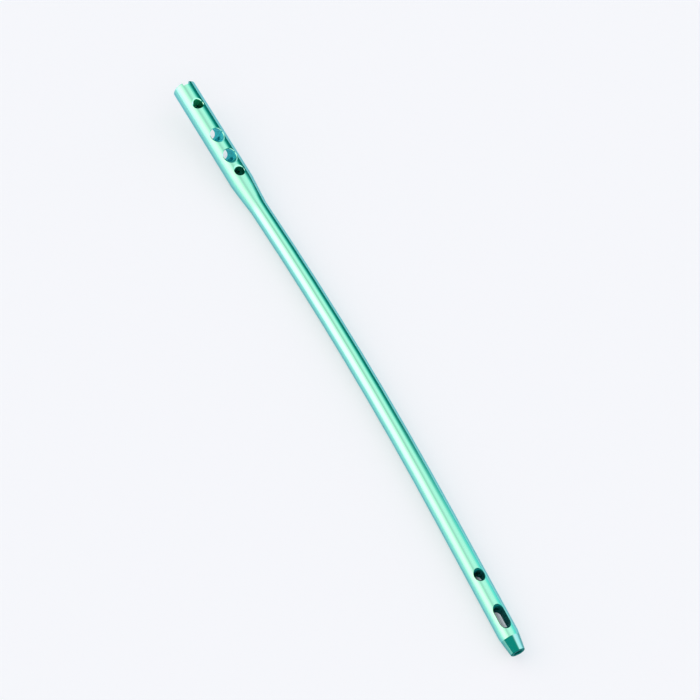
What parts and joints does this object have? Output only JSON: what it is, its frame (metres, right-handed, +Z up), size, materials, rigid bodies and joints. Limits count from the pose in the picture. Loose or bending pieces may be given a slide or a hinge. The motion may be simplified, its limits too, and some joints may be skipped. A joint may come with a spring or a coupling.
{
  "type": "intramedullary nail",
  "caption": "Cannulated femoral intramedullary nail, bowed, with a bent thicker head, slanting and square locking holes and a tapered distal tip.",
  "frame": {"origin": "middle of the nail's footprint, on the table that it lies on", "axes": "+X along the nail, parallel to its straight distal end and pointing to the tip; +Y to the convex side of the bow (anterior); +Z up, to the side that the head bends to (lateral)"},
  "size_m": [0.3596, 0.0282, 0.0223],
  "materials": {
    "titanium": "anodised"
  },
  "bodies": {
    "root": {"nail": "titanium"}
  },
  "joints": []
}
